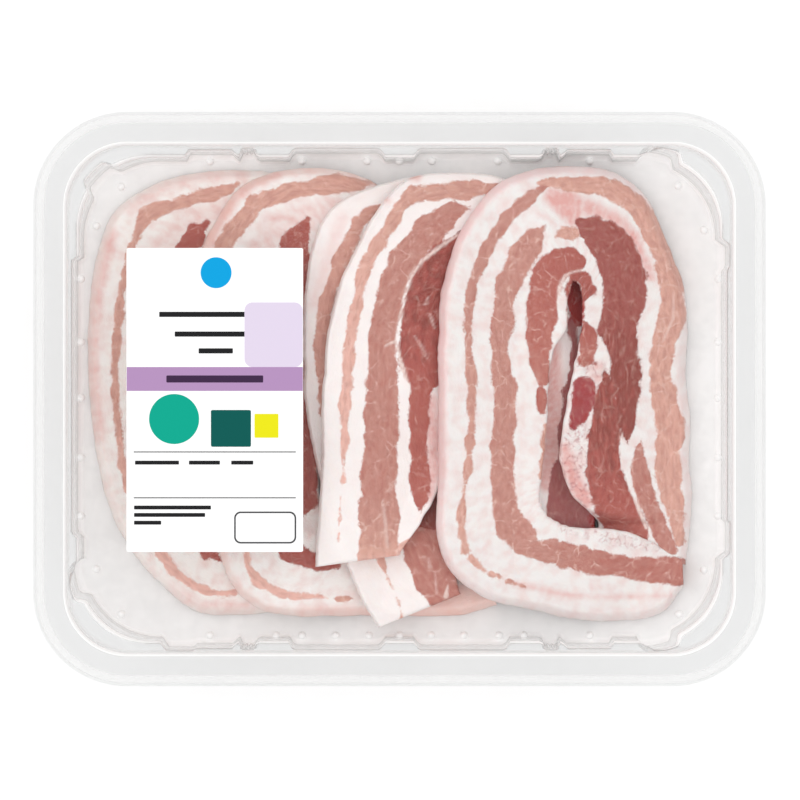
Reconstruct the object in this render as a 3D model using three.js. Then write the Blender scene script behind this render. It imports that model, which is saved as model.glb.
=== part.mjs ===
// Pack of five pork belly slices: a clear formed tray, its sealed film lid, a price label on
// the film, and the five slices that lie shingled in the tray.
// Units are millimetres, +Z is up. The origin is the middle of the tray's underside.
import * as THREE from "three";
import { LoftGeometry } from "three/addons/geometries/LoftGeometry.js";

// ---------- driving dimensions ----------

const TRAY = {
  length: 227, // along X, over the flange
  width: 178, // along Y, over the flange
  depth: 34.8, // underside of the floor to the top of the flange
  cornerRadius: 29, // outer corner of the flange
  floorCornerRadius: 24, // corner of the floor, rounder than the mouth above it
  floorInset: 14.3, // from the outer edge of the rim in to the foot of the wall
  wall: 0.7, // formed sheet
  flange: 9.7, // width of the flat sealing rim
  rimSlope: 3.6, // outer part of the rim, which falls to the edge
  ledge: 25.5, // height of the ledge that runs round between the wall bulges
  longBulge: 2.6, // how far the pads of the long sides bulge outwards
  shortBulge: 1.9, // the same for the short sides
  ribBulge: 2.7, // the same for the narrow ribbed blocks
  lugBulge: 3.2, // the same for the lugs near the corners
  bulgeSide: 1.3, // length of a bulge's sloping side
};

const FILM = { inset: 0.8, gap: 0.04, thickness: 0.2 };

const LABEL = {
  length: 94.1, // along Y
  width: 54.7, // along X
  centre: [-57.2, -0.3],
  thickness: 0.2,
  gap: 0.05,
};

const MEAT = {
  thickness: 6.8,
  rindSlope: 3.1, // the cut rind leans in this far from its foot to the top face
  edgeRound: 1.0,
  restGap: 0.6, // clearance of a slice over what it lies on
  drapeSlope: 0.36, // steepest rise of a slice where it climbs over another
};

// Bulges of one half of a long side: from, to (along X from the middle) and how far out.
const HALF_SIDE = [
  { from: 4.8, to: 34.2, out: TRAY.longBulge },
  { from: 44.1, to: 50.0, out: TRAY.ribBulge },
  { from: 50.6, to: 66.8, out: TRAY.longBulge * 0.8 },
];
const LONG_SIDE = HALF_SIDE.flatMap(({ from, to, out }) => [
  { from, to, out },
  { from: -to, to: -from, out },
]);

// Bulges of each side, along X or Y. The right side's bulge ends in a lug each way, and the
// lower long side has one lug at its left end.
const SIDE_BULGES = {
  top: LONG_SIDE,
  bottom: [...LONG_SIDE, { from: -74, to: -63.3, out: TRAY.lugBulge }],
  left: [{ from: -43, to: 44.5, out: TRAY.shortBulge }],
  right: [
    { from: -49.5, to: 49.5, out: TRAY.shortBulge },
    { from: -49.5, to: -37.5, out: TRAY.lugBulge },
    { from: 40, to: 49.5, out: TRAY.lugBulge },
  ],
};

// Lugs inside a corner's arc: the corner (1 to 4, anticlockwise from +X +Y) and the angle.
const LUGS = [
  { corner: 1, angle: 78 },
  { corner: 2, angle: 45 },
  { corner: 3, angle: 12 },
  { corner: 4, angle: 11 },
];
const LUG_SPREAD = 15; // degrees to each side of a lug's middle

// Each slice is a strip of belly laid in a bend. A row is a pair of points that face each
// other across the strip: rind edge X, Y, then rib edge X, Y.
const SLICES = [
  {
    name: "slice_1",
    colour: 0xe9c2b8,
    pairs: [
      [-30, -66.8, -28, -42],
      [-46, -67.8, -42, -41],
      [-60, -68, -49, -37.5],
      [-70, -63, -53, -32],
      [-81, -52.2, -55, -24],
      [-88, -38, -56, -14],
      [-91.8, -19, -56, -4],
      [-94.8, 2, -56, 7],
      [-94.8, 26, -55.5, 18],
      [-93.2, 47, -54, 28],
      [-87.5, 60, -52, 34],
      [-78, 67.2, -48, 36],
      [-64, 71.2, -44, 36.6],
      [-49, 72.2, -40, 36],
      [-34, 69.5, -36, 34],
      [-21, 60, -33, 30],
      [-14, 44, -31, 24],
      [-12, 26, -31, 16],
      [-13, 6, -32, 6],
    ],
  },
  {
    name: "slice_2",
    colour: 0xe7bfb4,
    pairs: [
      [29.8, -65.2, 20, -43],
      [20, -67.9, 12, -42],
      [3, -68.4, -1, -42],
      [-16, -68.4, -14, -42],
      [-34, -68.1, -21, -40],
      [-46, -65, -24, -35],
      [-53.6, -56.3, -25, -28],
      [-58, -43, -25, -18],
      [-60, -24, -25, -7],
      [-62.5, -2, -25, 5],
      [-63, 22, -25, 16],
      [-62.6, 44, -24, 27],
      [-58, 55.5, -22, 33],
      [-50, 66.5, -17, 36.5],
      [-36.5, 71.8, -12, 37.6],
      [-20, 72.3, -7, 36.6],
      [-6, 67, -3, 33],
      [4, 56, -1, 28],
      [10, 40, 0, 20],
      [12, 22, 0, 8],
    ],
  },
  {
    name: "slice_3",
    colour: 0xe8c1b6,
    pairs: [
      [-7.7, -70.8, 19, -60],
      [-13, -61.5, 17.5, -53],
      [-17.5, -50, 15.5, -44],
      [-22, -36, 13, -33],
      [-26.5, -20, 10, -18],
      [-29.6, -4, 7, -4],
      [-30.2, 14, 8, 10],
      [-30, 33, 10, 23],
      [-27.5, 48, 14, 32],
      [-22.5, 58.5, 18, 36],
      [-13, 65, 22, 38],
      [2, 69.5, 27, 38.2],
      [18, 70.3, 32, 36.6],
      [32, 65, 36, 32],
      [42, 52, 38, 25],
      [47, 34, 38, 14],
      [48, 16, 38, 2],
    ],
  },
  {
    name: "slice_4",
    colour: 0xe6bcb2,
    pairs: [
      [-26.8, -51.4, 0.4, -47.6],
      [-26, -40, 7, -38.5],
      [-24.8, -24, 13.6, -25],
      [-24.6, -6, 16.5, -10],
      [-23.8, 10, 17.5, 4],
      [-21.8, 25, 20, 17],
      [-18, 38.5, 24, 27],
      [-12, 50.5, 28, 33],
      [-6, 61, 32, 35.5],
      [4, 69.6, 36, 36.4],
      [19, 71.2, 40, 36],
      [33, 69, 44, 34],
      [45, 60, 43, 30],
      [53, 46, 43, 22],
      [57, 29, 42.5, 11],
      [60, 12, 41, -1],
      [61.5, -6, 39.5, -11],
      [62, -22, 39.5, -22],
      [61.5, -36, 39.5, -34],
      [59, -46.5, 41, -44.5],
    ],
  },
  {
    name: "slice_5",
    colour: 0xe3b0a5,
    pairs: [
      [88.4, -60, 88, -49.4],
      [82, -67.5, 77, -43.4],
      [70, -70, 68, -40.6],
      [55, -69.3, 57, -39.9],
      [41, -66.2, 51, -38.8],
      [28, -63, 46.8, -36.4],
      [17, -55.5, 44.6, -33.2],
      [11.6, -44, 43.9, -30],
      [11.6, -28, 44.6, -24],
      [11.8, -8, 46.3, -9],
      [11.6, 12, 47, 8],
      [13, 34, 50.5, 22],
      [17.4, 49.5, 52.6, 29.5],
      [26.6, 63.8, 53.5, 33.5],
      [38.5, 71.2, 53.8, 35.6],
      [53, 73.2, 54.6, 36.2],
      [67, 71.4, 55.8, 35.4],
      [77.5, 64, 56.4, 33],
      [83.6, 50.5, 56.6, 29],
      [89.4, 35.5, 56.4, 22],
      [90.6, 22, 54.5, 12],
      [90, 8, 52.5, 2],
      [91.6, -5, 50.8, -8],
      [91.2, -18, 49.8, -19],
      [92, -31, 53.5, -30],
      [90.8, -46, 62.4, -38.6],
    ],
  },
];

// ---------- small helpers ----------

const clamp = THREE.MathUtils.clamp;
const smoothstep = THREE.MathUtils.smoothstep;

function material(colour, roughness, extra = {}) {
  return new THREE.MeshStandardMaterial({ color: colour, roughness, metalness: 0, ...extra });
}

function piece(name, geometry, look) {
  const mesh = new THREE.Mesh(geometry, look);
  mesh.name = name;
  return mesh;
}

// ---------- tray ----------

// 1 inside a bulge, 0 outside, sloping over its sides.
function bulgeShare(along, { from, to }) {
  return smoothstep(Math.min(along - from, to - along), 0, TRAY.bulgeSide);
}

function sideRelief(along, bulges) {
  return Math.max(0, ...bulges.map((bulge) => bulge.out * bulgeShare(along, bulge)));
}

function cornerRelief(corner, angle) {
  const near = LUGS.filter((lug) => lug.corner === corner);
  const shares = near.map((lug) => {
    const off = Math.abs(angle - lug.angle);
    return 1 - smoothstep(off, LUG_SPREAD - 6, LUG_SPREAD);
  });
  return TRAY.lugBulge * Math.max(0, ...shares);
}

// Places along one side where the sheet bends, with a few between, in rising order.
function sidePlaces(bulges, between) {
  const bends = bulges.flatMap(({ from, to }) => [
    from, from + TRAY.bulgeSide, to - TRAY.bulgeSide, to,
  ]);
  const sorted = [...bends, ...between].sort((a, b) => a - b);
  return sorted.filter((at, i) => i === 0 || at - sorted[i - 1] > 0.5);
}

// Stations of one ring of the tray, anticlockwise: where each lies and how far the relief
// pushes it outwards there.
function trayStations() {
  const cornerStep = 11.25;
  const sideAfter = [
    { name: "top", axis: "long", sign: 1, between: [-19, 0, 19], falling: true },
    { name: "left", axis: "short", sign: -1, between: [-20, 0, 20], falling: true },
    { name: "bottom", axis: "long", sign: -1, between: [-19, 0, 19], falling: false },
    { name: "right", axis: "short", sign: 1, between: [-18, 0, 18], falling: false },
  ];
  return sideAfter.flatMap(({ name, axis, sign, between, falling }, i) => {
    const corner = i + 1;
    const stations = [];
    for (let angle = 0; angle <= 90; angle += cornerStep) {
      stations.push({ corner, angle, relief: cornerRelief(corner, angle) });
    }
    const places = sidePlaces(SIDE_BULGES[name], between);
    for (const at of falling ? places.reverse() : places) {
      stations.push({ side: axis, at, sign, relief: sideRelief(at, SIDE_BULGES[name]) });
    }
    return stations;
  });
}

const CORNER_SIGNS = [[1, 1], [-1, 1], [-1, -1], [1, -1]];

// A ring of the tray: `inset` from the outer edge, at height z, with its corner radius. The
// relief of each station counts with `share`.
function trayRing(stations, { inset, z, radius, share }) {
  const halfX = TRAY.length / 2 - inset;
  const halfY = TRAY.width / 2 - inset;
  return stations.map((station) => {
    const push = station.relief * share;
    if (station.side === "long") {
      return new THREE.Vector3(station.at, station.sign * (halfY + push), z);
    }
    if (station.side === "short") {
      return new THREE.Vector3(station.sign * (halfX + push), station.at, z);
    }
    const [sx, sy] = CORNER_SIGNS[station.corner - 1];
    const turn = THREE.MathUtils.degToRad((station.corner - 1) * 90 + station.angle);
    return new THREE.Vector3(
      sx * (halfX - radius) + Math.cos(turn) * (radius + push),
      sy * (halfY - radius) + Math.sin(turn) * (radius + push),
      z,
    );
  });
}

// The inner face of the tray from the floor out to the foot of the rim's skirt.
function trayProfile() {
  const { depth, wall, flange, rimSlope, ledge, floorInset } = TRAY;
  const mouth = TRAY.cornerRadius - flange;
  const floor = TRAY.floorCornerRadius;
  return [
    { inset: floorInset + 2.5, z: wall, radius: floor - 2, share: 0 },
    { inset: floorInset, z: 2.6, radius: floor, share: 1 },
    { inset: floorInset - 0.4, z: ledge - 0.8, radius: floor - 1, share: 1 },
    { inset: floorInset - 3.2, z: ledge + 0.4, radius: mouth + 1, share: 0 },
    { inset: flange + 0.4, z: depth - 0.7, radius: mouth, share: 0 },
    { inset: flange - 0.5, z: depth, radius: mouth + 0.6, share: 0 },
    { inset: rimSlope, z: depth, radius: TRAY.cornerRadius - rimSlope, share: 0 },
    { inset: 0.7, z: depth - 0.5, radius: TRAY.cornerRadius - 0.7, share: 0 },
    { inset: 0, z: depth - 2.4, radius: TRAY.cornerRadius, share: 0 },
  ];
}

// The outer face, one sheet thickness outside the inner one.
function outerProfile(profile) {
  return profile.map((point, i) => {
    const before = profile[Math.max(i - 1, 0)];
    const after = profile[Math.min(i + 1, profile.length - 1)];
    const along = new THREE.Vector2(before.inset - after.inset, after.z - before.z).normalize();
    const isFloor = i === 0;
    const isSkirt = i === profile.length - 1;
    const out = isFloor ? 0 : along.y * TRAY.wall;
    const down = isFloor ? TRAY.wall : along.x * TRAY.wall;
    return {
      ...point,
      inset: isSkirt ? point.inset + TRAY.wall : point.inset - out * Math.sign(along.x || 1),
      z: isSkirt ? point.z : Math.max(point.z - down, 0),
      radius: isSkirt ? point.radius - TRAY.wall : point.radius + out,
    };
  });
}

function makeTray() {
  const stations = trayStations();
  const inner = trayProfile();
  const outer = outerProfile(inner);
  const rings = [...outer, ...inner.reverse()].map((level) => trayRing(stations, level));
  const floorMiddle = (z) => stations.map(() => new THREE.Vector3(0, 0, z));
  const geometry = new LoftGeometry([floorMiddle(0), ...rings, floorMiddle(TRAY.wall)]);
  const look = material(0xeef0f0, 0.12, { transparent: true, opacity: 0.3 });
  return piece("tray", geometry, look);
}

// ---------- film and label ----------

function roundedPlate(length, width, radius, thickness) {
  const shape = new THREE.Shape();
  const x = length / 2;
  const y = width / 2;
  shape.absarc(x - radius, y - radius, radius, 0, Math.PI / 2);
  shape.absarc(-x + radius, y - radius, radius, Math.PI / 2, Math.PI);
  shape.absarc(-x + radius, -y + radius, radius, Math.PI, Math.PI * 1.5);
  shape.absarc(x - radius, -y + radius, radius, Math.PI * 1.5, Math.PI * 2);
  return new THREE.ExtrudeGeometry(shape, {
    depth: thickness,
    bevelEnabled: false,
    curveSegments: 12,
  });
}

function makeFilm() {
  const geometry = roundedPlate(
    TRAY.length - FILM.inset * 2,
    TRAY.width - FILM.inset * 2,
    TRAY.cornerRadius - FILM.inset,
    FILM.thickness,
  );
  const look = material(0xf4f6f6, 0.06, { transparent: true, opacity: 0.15 });
  const film = piece("film", geometry, look);
  film.position.z = TRAY.depth + FILM.gap;
  return film;
}

function makeLabel() {
  const geometry = roundedPlate(LABEL.width, LABEL.length, 0.6, LABEL.thickness);
  const label = piece("label", geometry, material(0xfdfdfd, 0.45));
  const filmTop = TRAY.depth + FILM.gap + FILM.thickness;
  label.position.set(...LABEL.centre, filmTop + LABEL.gap);
  return label;
}

// ---------- meat ----------

// The strip between the two edges of a slice: a point at `along` (0 to 1 down its length)
// and `across` millimetres from the rind edge.
class Strip {
  constructor(pairs) {
    const rind = pairs.map(([x, y]) => new THREE.Vector3(x, y, 0));
    const rib = pairs.map(([, , x, y]) => new THREE.Vector3(x, y, 0));
    this.rind = new THREE.CatmullRomCurve3(rind, false, "catmullrom", 0.5);
    this.rib = new THREE.CatmullRomCurve3(rib, false, "catmullrom", 0.5);
  }

  at(along) {
    const from = this.rind.getPoint(along);
    const to = this.rib.getPoint(along);
    const width = from.distanceTo(to);
    const point = (across) => from.clone().lerp(to, across / width);
    return { width, point };
  }
}

// Height of a slice's top over its underside, `across` millimetres from the rind edge.
function topHeight(across, width) {
  const rind = smoothstep(across, -MEAT.rindSlope * 0.35, MEAT.rindSlope);
  const rib = smoothstep(width - across, -MEAT.edgeRound * 1.5, MEAT.edgeRound);
  return MEAT.thickness * Math.min(rind, rib);
}

// The surface that the next slice comes to rest on, as heights on a square grid. Each slice
// laid on it raises it, and beside a step it falls off no faster than a slice can bend.
class RestingSurface {
  constructor(floor, cell = 2) {
    this.cell = cell;
    this.columns = Math.ceil(TRAY.length / cell) + 1;
    this.rows = Math.ceil(TRAY.width / cell) + 1;
    this.heights = new Float64Array(this.columns * this.rows).fill(floor);
    // cells that a spot raises: its own four corners and the ones round them
    const span = [-1, 0, 1, 2];
    this.reach = span.flatMap((i) => span.map((j) => [i, j]));
  }

  index(column, row) {
    return clamp(row, 0, this.rows - 1) * this.columns + clamp(column, 0, this.columns - 1);
  }

  place({ x, y }) {
    return [(x + TRAY.length / 2) / this.cell, (y + TRAY.width / 2) / this.cell];
  }

  heightAt(point) {
    const [u, v] = this.place(point);
    const column = Math.floor(u);
    const row = Math.floor(v);
    const at = (i, j) => this.heights[this.index(column + i, row + j)];
    const low = THREE.MathUtils.lerp(at(0, 0), at(1, 0), u - column);
    const high = THREE.MathUtils.lerp(at(0, 1), at(1, 1), u - column);
    return THREE.MathUtils.lerp(low, high, v - row);
  }

  lay(strip) {
    const raised = this.heights.slice();
    const steps = 420;
    for (let i = 0; i <= steps; i++) {
      const { width, point } = strip.at(i / steps);
      for (let across = 0; across <= width; across += this.cell / 3) {
        const spot = point(across);
        const top = this.heightAt(spot) + MEAT.restGap + topHeight(across, width);
        const [u, v] = this.place(spot);
        for (const [i, j] of this.reach) {
          const index = this.index(Math.floor(u) + i, Math.floor(v) + j);
          raised[index] = Math.max(raised[index], top);
        }
      }
    }
    this.heights = raised;
    this.limitSlope();
  }

  limitSlope() {
    const fall = MEAT.drapeSlope * this.cell;
    const neighbours = [[-1, 0, 1], [0, -1, 1], [-1, -1, Math.SQRT2], [1, -1, Math.SQRT2]];
    for (const way of [1, -1]) {
      for (let j = 0; j < this.rows; j++) {
        for (let i = 0; i < this.columns; i++) {
          const column = way > 0 ? i : this.columns - 1 - i;
          const row = way > 0 ? j : this.rows - 1 - j;
          const here = this.index(column, row);
          for (const [dx, dy, span] of neighbours) {
            const beside = this.heights[this.index(column + dx * way, row + dy * way)];
            this.heights[here] = Math.max(this.heights[here], beside - fall * span);
          }
        }
      }
    }
  }
}

// One cross-section of a slice as a closed loop of [across, share of the height].
function sectionLoop(width) {
  const { rindSlope, edgeRound } = MEAT;
  const flat = (share) => rindSlope + (width - rindSlope - edgeRound) * share;
  return [
    [0, 0.14],
    [rindSlope * 0.2, 0.4],
    [rindSlope * 0.6, 0.76],
    [rindSlope, 0.98],
    [flat(0.25), 1],
    [flat(0.5), 1],
    [flat(0.75), 1],
    [width - edgeRound, 1],
    [width, 0.78],
    [width, 0.2],
    [width - 0.7, 0],
    [flat(0.75), 0],
    [flat(0.5), 0],
    [flat(0.25), 0],
    [0.9, 0],
  ];
}

function makeSlice({ name, colour, pairs }, surface) {
  const strip = new Strip(pairs);
  const steps = (pairs.length - 1) * 3 - 1;
  const sections = [];
  for (let i = 0; i <= steps; i++) {
    const { width, point } = strip.at(i / steps);
    const loop = sectionLoop(width).map(([across, share]) => {
      const corner = point(across);
      corner.z = surface.heightAt(corner) + MEAT.restGap + MEAT.thickness * share;
      return corner;
    });
    sections.push(loop);
  }
  surface.lay(strip);
  const geometry = new LoftGeometry(sections, { capStart: true, capEnd: true });
  return piece(name, geometry, material(colour, 0.4));
}

// ---------- the pack ----------

const pack = new THREE.Group();
pack.name = "pork_belly_pack";
pack.add(makeTray());

const surface = new RestingSurface(TRAY.wall);
for (const slice of SLICES) {
  pack.add(makeSlice(slice, surface));
}

pack.add(makeFilm(), makeLabel());

export default pack;
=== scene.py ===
import math

import bpy
import numpy as np
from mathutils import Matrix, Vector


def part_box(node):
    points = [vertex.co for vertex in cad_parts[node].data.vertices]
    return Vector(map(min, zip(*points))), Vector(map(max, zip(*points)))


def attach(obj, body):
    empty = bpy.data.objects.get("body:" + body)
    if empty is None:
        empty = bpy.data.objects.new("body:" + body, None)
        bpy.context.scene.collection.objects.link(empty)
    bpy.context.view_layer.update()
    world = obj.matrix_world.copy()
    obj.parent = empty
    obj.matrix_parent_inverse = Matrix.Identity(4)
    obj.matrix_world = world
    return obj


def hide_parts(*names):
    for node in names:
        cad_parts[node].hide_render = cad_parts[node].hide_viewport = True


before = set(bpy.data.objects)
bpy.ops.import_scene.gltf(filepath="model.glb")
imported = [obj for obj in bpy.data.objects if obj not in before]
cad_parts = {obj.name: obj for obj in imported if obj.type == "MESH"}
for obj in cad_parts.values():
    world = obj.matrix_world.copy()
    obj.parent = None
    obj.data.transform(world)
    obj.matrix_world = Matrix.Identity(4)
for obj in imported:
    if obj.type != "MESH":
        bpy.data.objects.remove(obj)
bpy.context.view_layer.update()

mm = 0.001
# The camera's height over the rim and its place beside the middle, one pixel in the rim's plane,
# and the picture's width in pixels.
view = {"height": 2400, "aside": (0.15, -0.31), "pixel": 0.3097, "width": 800}

# Sizes here are millimetres, seen from above with +Y up, and turned into metres in the meshes.

tray = {
    "length": 227, "width": 178, "depth": 34.8,
    "cornerRadius": 29, "floorCornerRadius": 24, "floorInset": 14.3,
    "wall": 0.7, "flange": 9.7, "rimSlope": 3.6, "ledge": 25.5,
    "longBulge": 2.6, "shortBulge": 1.9, "ribBulge": 2.7, "lugBulge": 3.2,
    "bulgeSide": 1.3, "lugSpread": 15,
    "cornerReach": 39,               # how far a corner and its lug reach along a side
    "spacing": 1.1,                  # between the mesh's stations round the rim
    "tint": (0.922, 0.923, 0.923),   # what one surface lets through
    "roughness": 0.09,
}

studs = {
    "radius": 1.25, "lift": 1.0, "frost": 1.8,
    "sideRow": [37.2, 17.7, 0.3, -18.1, -36.2],      # Y of those along each short side
    "sideX": 98.6,
    "topRow": [-58.7, -30.3, -10, 0, 10, 30.5, 58.9],
    "topY": 73.6,
    "bottomRow": [-58.7, -38.2, -30.2, -19.8, -9.5, 0, 9.8, 19.9, 30.8, 38.5, 58.9],
    "bottomY": -73.2,
    "corners": [(-93.9, 53.6), (-86.2, 65.7), (94.3, 52.3), (86.2, 66),
                (-93.9, -52.7), (-86.2, -66.6), (94.3, -53), (86.5, -66.6)],
}

ribs = {"count": 4, "spacing": 1.45, "width": 0.6, "out": 1.0, "x": 47.1, "frost": 0.4}

film = {"inset": 0.8, "radius": 28.2, "tint": (0.985, 0.986, 0.986)}

label = {"centre": (-57.2, -0.3), "width": 54.7, "length": 94.1, "corner": 0.6}

meat = {
    "thickness": 6.8, "rindSlope": 3.1, "edgeRound": 1.0, "restGap": 0.6, "drapeSlope": 0.36,
    "station": 0.62,     # mesh spacing along a slice
    "leanBulge": 0.22,   # lean stands this far over the fat
    "wave": 0.35,        # slow rise and fall of the top face
    "fineWave": 0.12,
    "sink": 0.3,         # how much the top face is lowered, since lean and waves raise it
    "lumps": 0.7,        # height of the lumps in loose fat
    "edgeWave": 0.35,    # how far a slice's edges wander
}

# Tones of lean: where each lies on the scale from pale to deep red, and its colour.
pale, salmon, pinkBrown, rose, red = 0.0, 0.14, 0.28, 0.42, 0.54
brown, darkRed, mauve, purple, deep = 0.6, 0.68, 0.8, 0.9, 1.0
toneColours = {
    pale: (240, 190, 177), salmon: (216, 164, 149), pinkBrown: (196, 139, 127),
    rose: (180, 101, 90), red: (170, 83, 75), brown: (136, 60, 52), darkRed: (160, 82, 75),
    mauve: (164, 98, 97), purple: (160, 58, 64), deep: (165, 25, 22),
}
# the pit colour is the darker grey-purple of the hollows in lumpy fat, partly their own tint and partly
# painted shade
patternColours = {"stripe": (148, 72, 64), "fleck": (232, 184, 170), "vein": (238, 205, 194),
                  "seam": (242, 222, 215), "blush": (229, 172, 166), "pitTintAndShade": (188, 120, 122)}
cellSizes = {"bundle": 6.2, "hair": 2.7, "lump": 3.4}

# A slice is a strip between two edges. Its pairs are rind X, Y and rib X, Y. Its lean is a list
# of bands, each a tone, or its first and last tone, and the points X, Y, width that it runs
# through, as seen from the camera. Its blush is like that, with how strongly the fat is pink in
# place of a tone, and so are its lumpy fat, the fat washed in the rim's colour and the pale
# seams that part the lean. rimPink says how much of its colour the rim has at some of the pairs,
# and between those it changes evenly. whiter takes pink out of the fat, slope is how far a rind
# slopes that is steeper than the others, and limbLean is lean that shows only past legEnd.
slice1 = {
    "name": "slice_1", "rim": (0.90, 0.72, 0.67), "veins": 0.6, "fat": (253, 251, 247),
    "rimPink": [(0, 0.5), (3, 0.3), (8, 0.6), (11, 0.4), (18, 0.4)],
    "pairs": [
        (-30, -66.8, -28, -42), (-46, -67.8, -42, -41), (-60, -68, -49, -37.5), (-70, -63, -53, -32),
        (-81, -52, -55, -24), (-90, -38, -56, -14), (-95, -19, -56, -4), (-97.8, 2, -56, 7),
        (-98, 24, -55.5, 18), (-95.4, 45, -54, 28), (-89.5, 59, -52, 34), (-78, 67.2, -48, 36),
        (-64, 71.2, -44, 36.6), (-49, 72.2, -40, 36), (-34, 69.5, -36, 34), (-21, 60, -33, 30),
        (-14, 44, -31, 24), (-12, 26, -31, 16), (-13, 6, -32, 6),
    ],
    "lean": [
        (salmon, [
            (-50.5, 66.6, 1.6), (-52.7, 64.8, 3.7), (-58, 63.5, 5.2), (-62.9, 62.6, 4.6),
            (-69.8, 60.1, 4.3), (-75.6, 58.9, 5.2), (-78.7, 57, 5.6), (-80.9, 52, 3.4), (-82.7, 46.9, 2.8),
            (-84.6, 40.9, 3), (-86.2, 32.6, 2.9), (-87.4, 22, 2.8), (-88.2, 7, 2.8), (-87.9, -3, 2.8),
            (-86.6, -12, 3.2)]),
        (0.07, [(-86.6, -12, 3.2), (-86, -19, 3.4), (-84.2, -26, 3.4), (-80, -36, 3.4)]),
        (pale, [(-80, -36, 3.4), (-76, -44, 3.4), (-73.3, -48.6, 3.7), (-68.8, -54.2, 3.2),
                (-63.8, -57.8, 2.8), (-58.6, -60.2, 2.5), (-51.5, -59.9, 2)]),
        (0.5, [(-59.5, 54.8, 1.5), (-63, 51.5, 6), (-66, 46, 8), (-68, 20, 9), (-68, -10, 9),
               (-65.5, -38, 8), (-60, -47, 4.6), (-55.2, -50.2, 1.5)]),
    ],
    "blush": [
        (0.55, [(-93, -12, 3.6), (-95.4, 10, 3.6), (-93.6, 34, 3.8), (-89, 50, 3.4)]),
        (0.4, [(-83, 59, 3), (-74.5, 65, 3.4), (-62, 68.8, 3.4), (-48, 69.8, 3)]),
        (0.3, [(-70, -58.5, 4), (-60, -64.5, 4), (-48, -64.5, 5)]),
        (0.25, [(-75, 44, 8), (-66, 56, 6), (-54, 59, 6)]),
    ],
}

slice2 = {
    "name": "slice_2", "rim": (0.90, 0.56, 0.49), "veins": 0.6, "fat": (253, 251, 248),
    "rimPink": [(0, 1), (2, 1), (3, 0.5), (6, 0.5), (11, 0.8), (14, 0.6), (19, 0.5)],
    "pairs": [
        (29.8, -65.2, 20, -43), (20, -67.9, 12, -42), (3, -68.4, -1, -42), (-16, -68.4, -14, -42),
        (-34, -68.1, -21, -40), (-46, -65, -24, -35), (-53.6, -56.3, -25, -28), (-58, -43, -25, -18),
        (-60, -24, -25, -7), (-62.5, -2, -25, 5), (-63, 22, -25, 16), (-62.6, 44, -24, 27),
        (-58, 55.5, -22, 33), (-50, 66.5, -17, 36.5), (-36.5, 71.8, -12, 37.6), (-20, 72.3, -7, 36.6),
        (-6, 67, -3, 33), (4, 56, -1, 28), (10, 40, 0, 20), (12, 22, 0, 8),
    ],
    "lean": [
        (salmon, [
            (-6, 67.9, 1.2), (-11.8, 66.7, 3.4), (-19.2, 66.8, 7), (-27.9, 65.4, 5.4), (-34.9, 64.3, 6.2),
            (-40.1, 62, 5.8), (-45.1, 60.3, 5.6), (-47.7, 56.4, 6.4), (-52.2, 51.1, 5.9),
            (-54.5, 47.4, 5.1), (-57, 30, 5), (-57.5, 0, 5), (-55, -22, 4.5), (-50.5, -38, 3)]),
        (pale, [(-47.6, -48, 2.5), (-46.9, -52, 3.4), (-43.6, -57, 3.5), (-37.2, -59.8, 2.5),
                (-32.4, -61.3, 1.8), (-27.3, -61.2, 1.9), (-22, -61.8, 1.2)]),
        (salmon, [(-20.8, -61.8, 0.5), (-18.6, -61.9, 1.6), (-16.6, -61.9, 1.5), (-14.4, -61.7, 0.4)]),
        (0.5, [(-28.5, 55.5, 3), (-32, 50.5, 7.5), (-33, 44, 10), (-31.5, 20, 12), (-30.5, -10, 12),
               (-30.5, -31, 11)]),
        (red, [(-36, -42, 4), (-33, -47.6, 8), (-26, -50.5, 6), (-19.5, -51.5, 3)]),
    ],
    "blush": [
        (0.6, [(-59, 46, 2.6), (-55, 56, 2.6), (-47.5, 65.5, 2.6), (-38, 69.6, 2.6)]),
        (0.3, [(-30, -65.5, 4), (-10, -66, 4)]),
        (0.3, [(-48, 38, 8), (-38, 54, 8), (-22, 58, 8), (-8, 57, 8)]),
    ],
    "wash": [
        (0.8, [(5, -66, 7), (14, -64, 9), (20, -62, 9), (29, -60, 9)]),
        (0.35, [(-40, -66, 3), (-20, -67, 5), (5, -67, 5)]),
    ],
}

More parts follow.
